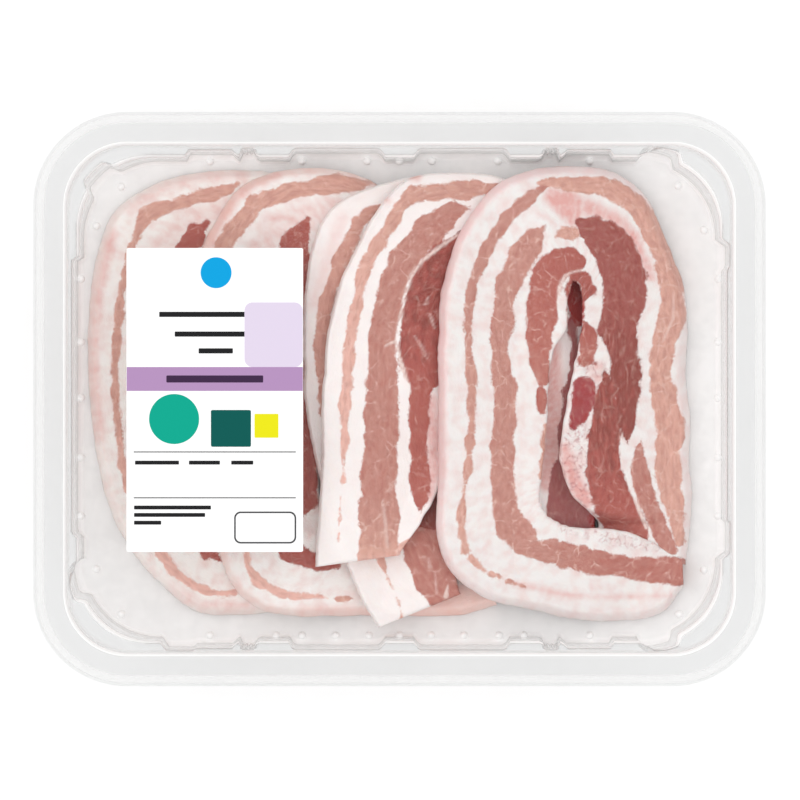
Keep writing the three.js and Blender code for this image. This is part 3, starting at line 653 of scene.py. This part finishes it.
# across and share of the height for each column of one section, with rs the rind's slope
def sectionColumns(width, rs):
    er = meat["edgeRound"]
    column = lambda across, share: (np.broadcast_to(across, width.shape), share)
    columns = [column(rs * f, 0.14 + 0.86 * math.sin(f * math.pi / 2) ** 0.8)
               for f in np.linspace(0, 1, 8)]
    columns += [column(rs + (width - rs - er) * f, 1) for f in np.linspace(0, 1, 60)[1:]]
    for turn in (30, 60, 90):
        a = math.radians(turn)
        columns.append(column(width - er + er * math.sin(a), 0.85 + 0.15 * math.cos(a)))
    columns += [column(width, 0.5), column(width, 0.2), column(width - 0.7, 0)]
    columns += [column(0.9 + (width - 1.6) * f, 0) for f in np.linspace(1, 0, 14)[1:]]
    across = np.stack([c[0] for c in columns], 1)
    return across, np.array([c[1] for c in columns], float)


def makeSlice(settings, surface):
    tuck = settings.get("tuck")
    pairs = np.array(settings["pairs"] + ([tuck["end"]] if tuck else []), float)
    seed = int(settings["name"][-1]) * 10
    length = np.linalg.norm(np.diff(pairs[:, :2], axis=0), axis=1).sum()
    count = int(length / meat["station"])
    shares = np.linspace(0, 1, count)
    rind, rib = throughPoints(pairs[:, :2], shares), throughPoints(pairs[:, 2:], shares)
    along = np.concatenate([[0], np.cumsum(np.linalg.norm(np.diff(rind, axis=0), axis=1))])
    facing = (rib - rind) / np.linalg.norm(rib - rind, axis=1)[:, None]
    rough = 0.6 * wander(along, 0, 6, seed) + 0.4 * wander(along, 4, 1.7, seed + 5)
    rind = rind + facing * (meat["edgeWave"] * (1 + rough))[:, None]
    rib = rib - facing * (meat["edgeWave"] * (1 + wander(along, 9, 3.5, seed + 1)))[:, None]
    width = np.linalg.norm(rib - rind, axis=1)

    across, share = sectionColumns(width, settings.get("slope", meat["rindSlope"]))
    xy = rind[:, None] + facing[:, None] * across[..., None]
    base = surface.at(xy) + meat["restGap"]
    if tuck:
        dip = tuck["drop"] * smoothstep(along, along[-1] - tuck["run"], along[-1] - 4)
        base = np.maximum(base - dip[:, None], tray["wall"] + 0.3)
    flat = xy.reshape(-1, 2)
    seen = asSeen(flat, (base + meat["thickness"] * share).ravel())
    depth, _ = leanAt(seen, np.repeat(shares, len(share)), settings)
    lumpy = softRoutes(seen, settings.get("lumpy", []), 0.8)
    waves = lambda cell, order: wander(flat[:, 0], flat[:, 1], cell, seed + order)
    relief = (meat["leanBulge"] * smoothstep(depth, -0.8, 1.2) + meat["wave"] * waves(9, 2)
              + meat["fineWave"] * waves(2.5, 3) + lumpy * meat["lumps"] * waves(1.7, 4))
    relief = relief.reshape(across.shape) - meat["sink"]
    z = base + meat["thickness"] * share + relief * (share > 0.5)
    surface.lay(xy, z)

    centre = np.stack([xy.mean(1)[:, 0], xy.mean(1)[:, 1], z.mean(1)], 1)
    sections = np.dstack([xy, z])
    columnCount = sections.shape[1]
    turns = (25, 50, 75)
    rings = np.array(
        [endSection(sections[0], centre[0], rind[0] - rind[1], turn) for turn in turns[::-1]]
        + list(sections)
        + [endSection(sections[-1], centre[-1], rind[-1] - rind[-2], turn) for turn in turns])
    atRings = lambda values: np.pad(
        values, [(len(turns),) * 2] + [(0, 0)] * (values.ndim - 1), "edge")
    points = np.vstack([rings.reshape(-1, 3), rings[0].mean(0), rings[-1].mean(0)])
    faces = ringFaces(len(rings), columnCount)
    uv = np.stack([np.repeat(atRings(along), columnCount), atRings(across).ravel()], 1)
    uv = np.vstack([uv, [[0, 10], [along[-1], 10]]])

    seen = asSeen(points[:, :2], points[:, 2])
    ringShares = np.append(np.repeat(atRings(shares), columnCount), [0, 1])
    depth, tone = leanAt(seen, ringShares, settings)
    inSlit, _ = nearestRoute(seen, settings.get("slit", []))
    onWall = (inSlit > 0) & (np.append(np.tile(share, len(rings)), [1, 1]) < 0.9)
    depth[onWall], tone[onWall] = 2, deep
    rimPlaces, rimShares = zip(*settings["rimPink"])
    attributes = {"leanDepth": depth, "leanTone": tone,
                  "rimPink": np.interp(ringShares * (len(pairs) - 1), rimPlaces, rimShares),
                  "wash": softRoutes(seen, settings.get("wash", []), 1.2),
                  "seam": softRoutes(seen, settings.get("seams", []), 0.35),
                  "blush": softRoutes(seen, settings["blush"], 1.8),
                  "lumpy": softRoutes(seen, settings.get("lumpy", []), 0.8)}
    piece = meshPiece(settings["name"] + "_cut", points, faces, porkMaterial(settings), uv,
                      attributes)
    return addPiece(piece, "pork", settings["name"])


def endSection(section, middle, outward, turn):  # moved out and thinned, for a round end
    a = math.radians(turn)
    direction = outward / np.linalg.norm(outward)
    moved = section.copy()
    moved[:, 2] = middle[2] + (section[:, 2] - middle[2]) * math.cos(a)
    moved[:, :2] += direction * math.sin(a) * meat["edgeRound"]
    return moved


halfSide = [(4.8, 34.2, tray["longBulge"]), (44.1, 50.0, tray["ribBulge"]),
            (50.6, 66.8, tray["longBulge"] * 0.8)]
longSide = halfSide + [(-high, -low, out) for low, high, out in halfSide]
sideBulges = {
    "top": longSide,
    "left": [(-43, 44.5, tray["shortBulge"])],
    "bottom": longSide + [(-74, -63.3, tray["lugBulge"])],
    "right": [(-49.5, 49.5, tray["shortBulge"]), (-49.5, -37.5, tray["lugBulge"]),
              (40, 49.5, tray["lugBulge"])],
}
cornerLugs = {1: 78, 2: 45, 3: 12, 4: 11}  # corner, and the lug's angle inside its arc


def sideRelief(along, bulges):
    shares = [out * smoothstep(np.minimum(along - low, high - along), 0, tray["bulgeSide"])
              for low, high, out in bulges]
    return np.max(shares, axis=0)


def ringPoints(inset, z, radius, share):  # anticlockwise from +X, relief pushed outwards
    halfX, halfY = tray["length"] / 2 - inset, tray["width"] / 2 - inset
    ring = []
    angles = np.radians(np.linspace(0, 90, 41))
    for corner, side, sx, sy in ((1, "top", 1, 1), (2, "left", -1, 1), (3, "bottom", -1, -1),
                                 (4, "right", 1, -1)):
        off = np.abs(np.degrees(angles) - cornerLugs[corner])
        relief = tray["lugBulge"] * (1 - smoothstep(off, tray["lugSpread"] - 6, tray["lugSpread"]))
        turn = angles + math.radians((corner - 1) * 90)
        push = radius + relief * share
        ring.append(np.stack([sx * (halfX - radius) + np.cos(turn) * push,
                              sy * (halfY - radius) + np.sin(turn) * push], 1))
        isLong = side in ("top", "bottom")
        end = tray["length" if isLong else "width"] / 2 - tray["cornerReach"]
        count = int(2 * end / tray["spacing"])
        along = np.linspace(-end, end, count) * (-1 if corner < 3 else 1)
        pushed = sideRelief(along, sideBulges[side]) * share
        if isLong:
            ring.append(np.stack([along, sy * (halfY + pushed)], 1))
        else:
            ring.append(np.stack([sx * (halfX + pushed), along], 1))
    flat = np.vstack(ring)
    return np.column_stack([flat, np.full(len(flat), z)])


def trayProfile():
    inset, ledge, flange, depth = tray["floorInset"], tray["ledge"], tray["flange"], tray["depth"]
    wall, floor, corner = tray["wall"], tray["floorCornerRadius"], tray["cornerRadius"]
    mouth = corner - flange
    floorFrost, wallFrost, bendHighlight = 0.8, 0.2, 1.4  # past 1 is white all over, a painted highlight on the bends; floor and walls are frosted
    return [
        (inset + 2.5, wall, floor - 2, 0, floorFrost),
        (inset + 1.2, wall + 0.25, floor - 1, 0.5, floorFrost),
        (inset + 0.3, wall + 0.95, floor, 0.9, bendHighlight),
        (inset, 2.6, floor, 1, wallFrost),
        (inset - 0.2, ledge * 0.5, floor - 0.5, 1, wallFrost),
        (inset - 0.4, ledge - 1.4, floor - 1, 1, wallFrost),
        (inset - 0.7, ledge - 0.5, floor - 1.2, 0.9, bendHighlight),
        (inset - 1.0, ledge - 0.1, floor - 1.4, 0.8, bendHighlight),
        (inset - 1.2, ledge, mouth + 2.5, 0.7, 0),
        (inset - 3.2, ledge + 0.4, mouth + 1, 0, 0),
        (flange + 0.9, ledge + 1.2, mouth, 0, 0.1),
        (flange + 0.7, depth - 2, mouth, 0, wallFrost),
        (flange + 0.5, depth - 0.7, mouth, 0, bendHighlight),
        (flange, depth - 0.12, mouth + 0.3, 0, bendHighlight),
        (flange - 0.3, depth, mouth + 0.5, 0, bendHighlight),
        (flange - 0.5, depth, mouth + 0.6, 0, 0),
        (tray["rimSlope"], depth, corner - tray["rimSlope"], 0, 0),
        (tray["rimSlope"] - 0.5, depth - 0.05, corner - tray["rimSlope"] + 0.5, 0, 0.25),
        (1.3, depth - 0.3, corner - 1.3, 0, 0.3), (0.7, depth - 0.5, corner - 0.7, 0, 0),
        (0.2, depth - 1, corner - 0.2, 0, 0),
        (0, depth - 2.4, corner, 0, 0),
    ]


def makeTray():
    inner = trayProfile()
    outer = []
    for i, (inset, z, radius, share, frost) in enumerate(inner):
        before, after = inner[max(i - 1, 0)], inner[min(i + 1, len(inner) - 1)]
        run, rise = before[0] - after[0], after[1] - before[1]
        size = math.hypot(run, rise)
        out, down = rise / size * tray["wall"], run / size * tray["wall"]
        if i == 0:
            out, down = 0, tray["wall"]
        if i == len(inner) - 1:
            outer.append((inset + tray["wall"], z, radius - tray["wall"], share, frost))
        else:
            outer.append((inset - out * math.copysign(1, run or 1), max(z - down, 0),
                          radius + out, share, frost))
    levels = outer + inner[::-1]
    rings = [ringPoints(*level[:4]) for level in levels]
    size = len(rings[0])
    points = np.vstack(rings + [[[0, 0, 0]], [[0, 0, tray["wall"]]]])
    frost = np.append(np.repeat([level[4] for level in levels], size), [levels[0][4]] * 2)
    shell = meshPiece("tray_shell", points, ringFaces(len(rings), size), trayPlastic,
                      attributes={"frost": frost})
    return addPiece(shell, "clear_tray", "tray")


def pointObject(name, places):
    mesh = bpy.data.meshes.new(name)
    mesh.from_pydata([tuple(c * mm for c in place) for place in places], [], [])
    return newObject(name, mesh)


# a Geometry Nodes tree that sets one shape at each place, with sizes as its named inputs
def repeatOnPoints(name, places, sizes, shape, frost):
    tree = bpy.data.node_groups.new(name, "GeometryNodeTree")
    face = tree.interface
    face.new_socket("Geometry", in_out="INPUT", socket_type="NodeSocketGeometry")
    sockets = {key: face.new_socket(key, in_out="INPUT", socket_type="NodeSocketFloat")
               for key in sizes}
    face.new_socket("Geometry", in_out="OUTPUT", socket_type="NodeSocketGeometry")
    start, end = tree.nodes.new("NodeGroupInput"), tree.nodes.new("NodeGroupOutput")
    copies = tree.nodes.new("GeometryNodeInstanceOnPoints")
    real = tree.nodes.new("GeometryNodeRealizeInstances")
    paint = tree.nodes.new("GeometryNodeSetMaterial")
    paint.inputs["Material"].default_value = trayPlastic
    tree.links.new(shape(tree, start), copies.inputs["Instance"])
    steps = [start, copies, real, paint, end]
    for before, after in zip(steps, steps[1:]):
        tree.links.new(before.outputs[0], after.inputs[0])

    carrier = pointObject(name + "_places", places)
    modifier = carrier.modifiers.new(name, "NODES")
    modifier.node_group = tree
    for key, value in sizes.items():
        modifier[sockets[key].identifier] = value * mm
    evaluated = carrier.evaluated_get(bpy.context.evaluated_depsgraph_get())
    mesh = bpy.data.meshes.new_from_object(evaluated)
    mesh.name = name
    shade(mesh, True)
    addFloats(mesh, "frost", [frost] * len(mesh.vertices))
    bpy.data.objects.remove(carrier)
    return addPiece(newObject(name, mesh), "clear_tray")


def domeShape(tree, start):
    ball = tree.nodes.new("GeometryNodeMeshUVSphere")
    ball.inputs["Segments"].default_value = 16
    ball.inputs["Rings"].default_value = 10
    tree.links.new(start.outputs["Radius"], ball.inputs["Radius"])
    return ball.outputs["Mesh"]


def barShape(tree, start):
    size = tree.nodes.new("ShaderNodeCombineXYZ")
    for axis, key in zip("XYZ", ("Width", "Out", "Height")):
        tree.links.new(start.outputs[key], size.inputs[axis])
    bar = tree.nodes.new("GeometryNodeMeshCube")
    tree.links.new(size.outputs[0], bar.inputs["Size"])
    return bar.outputs["Mesh"]


def makeStuds():
    z = tray["wall"] + studs["lift"]
    places = [(side * studs["sideX"], y, z) for side in (-1, 1) for y in studs["sideRow"]]
    places += [(x, studs["topY"], z) for x in studs["topRow"]]
    places += [(x, studs["bottomY"], z) for x in studs["bottomRow"]]
    places += [(x, y, z) for x, y in studs["corners"]]
    deeper = 1 + (tray["depth"] - z) / view["height"]  # the places are as seen from the camera
    places = [(x * deeper, y * deeper, z) for x, y, z in places]
    sizes = {"Radius": studs["radius"]}
    # past 1, the frost makes each stud a white matte dome: a painted highlight
    return repeatOnPoints("tray_studs", places, sizes, domeShape, studs["frost"])


def makeRibs():
    low, high = 3.0, tray["ledge"] - 1.5
    face = tray["width"] / 2 - tray["floorInset"] + 0.3 + tray["ribBulge"] - ribs["out"] / 2
    places = [(sx * ribs["x"] + (i - (ribs["count"] - 1) / 2) * ribs["spacing"],
               sy * face, (low + high) / 2)
              for sx in (-1, 1) for sy in (-1, 1) for i in range(ribs["count"])]
    sizes = {"Width": ribs["width"], "Out": ribs["out"], "Height": high - low}
    return repeatOnPoints("tray_ribs", places, sizes, barShape, ribs["frost"])


def roundedPlate(name, centre, width, length, radius, low, high, material):
    turn = np.radians(np.arange(0, 90.1, 7.5))
    arcs = []
    for start, sx, sy in ((0, 1, 1), (90, -1, 1), (180, -1, -1), (270, 1, -1)):
        angle = turn + math.radians(start)
        x = centre[0] + sx * (width / 2 - radius) + radius * np.cos(angle)
        y = centre[1] + sy * (length / 2 - radius) + radius * np.sin(angle)
        arcs.append(np.stack([x, y], 1))
    outline = np.vstack(arcs)
    size = len(outline)
    points = np.vstack([np.column_stack([outline, np.full(size, z)]) for z in (low, high)])
    faces = [(i, (i + 1) % size, size + (i + 1) % size, size + i) for i in range(size)]
    faces += [tuple(reversed(range(size))), tuple(range(size, 2 * size))]
    return meshPiece(name, points, faces, material, smooth=False)


def makeFilm():
    low, high = (corner.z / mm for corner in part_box("film"))
    plate = roundedPlate("film_lid", (0, 0), tray["length"] - 2 * film["inset"],
                         tray["width"] - 2 * film["inset"], film["radius"], low, high, filmPlastic)
    return addPiece(plate, "clear_film", "film")


# Print on the label: plain fields, each with its colour, and its centre X and Y from the label's
# own centre, width, length and corner radius.
prints = {
    "blue": ((0, 160, 220), [(0.4, 39.4, 9.6, 9.6, 4.8)]),
    "ink": ((30, 30, 32), [
        (0.3, 26.5, 35, 1.6, 0.2), (0.3, 20.4, 25.4, 1.6, 0.2), (0.3, 15.2, 10.6, 1.6, 0.2),
        (0, -16.1, 50.2, 0.3, 0.1), (0, -30.3, 50.2, 0.3, 0.1),
        (-17.9, -19.4, 13.6, 1.2, 0.2), (-3.2, -19.4, 9.6, 1.2, 0.2), (8.5, -19.4, 6.8, 1.2, 0.2),
        (-13.1, -33.3, 23.8, 1.2, 0.2), (-14, -35.6, 22, 1.2, 0.2), (-20.8, -38, 8.4, 1.2, 0.2)]),
    "lilac": ((222, 210, 230), [(18.2, 20.2, 18, 20, 2.5)]),
    "band": ((177, 142, 185), [(0, 6.5, 54.5, 7.4, 0.1)]),
    "bandInk": ((62, 40, 70), [(0, 6.5, 30, 2.2, 0.3)]),
    "teal": ((0, 165, 140), [(-12.6, -5.9, 15.5, 15.5, 7.7)]),
    "green": ((0, 88, 82), [(5, -8.8, 12.4, 11.4, 0.5)]),
    "yellow": ((230, 225, 20), [(16, -8, 7.4, 7.4, 0.3)]),
    "frame": ((70, 70, 72), [(15.6, -39.5, 19.2, 9.9, 2)]),
    "paperInside": ((252, 252, 252), [(15.6, -39.5, 18.2, 8.9, 1.6)]),
}


def makeLabel():
    low, high = (corner.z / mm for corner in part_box("label"))
    top = high - 0.05
    sheet = roundedPlate("label_sheet", label["centre"], label["width"], label["length"],
                         label["corner"], low, top, paper("label_paper", linear(253, 253, 253)))
    addPiece(sheet, "label_paper", "label")
    for order, (name, (colour, fields)) in enumerate(prints.items()):
        ink = paper("print_" + name, linear(*colour))
        lift = 0.003 * (order + 1)  # so that fields that overlap don't share a face
        for number, (x, y, width, length, radius) in enumerate(fields):
            centre = (label["centre"][0] + x, label["centre"][1] + y)
            field = roundedPlate(f"print_{name}_{number + 1}", centre, width, length,
                                 min(radius, width / 2 - 0.01, length / 2 - 0.01),
                                 top + 0.001, top + 0.012 + lift, ink)
            addPiece(field, "label_paper")


def makeStage():
    material, add = newMaterial("pale_floor")
    matte = add("ShaderNodeBsdfDiffuse", Color=(0.96, 0.96, 0.96, 1))
    add("ShaderNodeOutputMaterial", Surface=matte.outputs[0])
    half, under = 3000, 0.2  # half its width, and how far it lies under the tray
    mesh = bpy.data.meshes.new("floor")
    mesh.from_pydata([(x * half * mm, y * half * mm, -under * mm)
                      for x, y in ((-1, -1), (1, -1), (1, 1), (-1, 1))], [], [(0, 1, 2, 3)])
    mesh.materials.append(material)
    newObject("floor", mesh)


def makeLight():
    world = bpy.data.worlds.new("studio")
    world.use_nodes = True
    background = world.node_tree.nodes["Background"]
    background.inputs["Color"].default_value = (1, 1, 1, 1)
    background.inputs["Strength"].default_value = 0.84
    bpy.context.scene.world = world
    soft = bpy.data.lights.new("soft_light", "SUN")
    soft.energy, soft.angle = 0.9, math.radians(90)
    newObject("soft_light", soft).rotation_euler = (math.radians(-6), math.radians(-8), 0)
    bpy.context.scene.view_settings.view_transform = "Standard"
    bpy.context.scene.cycles.transparent_max_bounces = 48  # the clear walls are seen edge-on


def makeCamera():
    data = bpy.data.cameras.new("camera")
    data.sensor_width = 36
    data.lens = data.sensor_width * view["height"] / (view["pixel"] * view["width"])
    data.clip_end = 20
    camera = newObject("camera", data)
    camera.location = [c * mm for c in (*view["aside"], tray["depth"] + view["height"])]
    bpy.context.scene.camera = camera


trayPlastic = clearPlastic("tray_plastic", tray["tint"], tray["roughness"], 0.3, frostedAndHighlit=True)
filmPlastic = clearPlastic("film_plastic", film["tint"], 0.06, 0.12)

makeTray()
makeStuds()
makeRibs()
print("tray made")

surface = RestingSurface(tray["wall"])
for settings in slices:
    makeSlice(settings, surface)
    print(settings["name"], "made")

makeFilm()
makeLabel()
print("film and label made")

makeStage()
makeLight()
makeCamera()
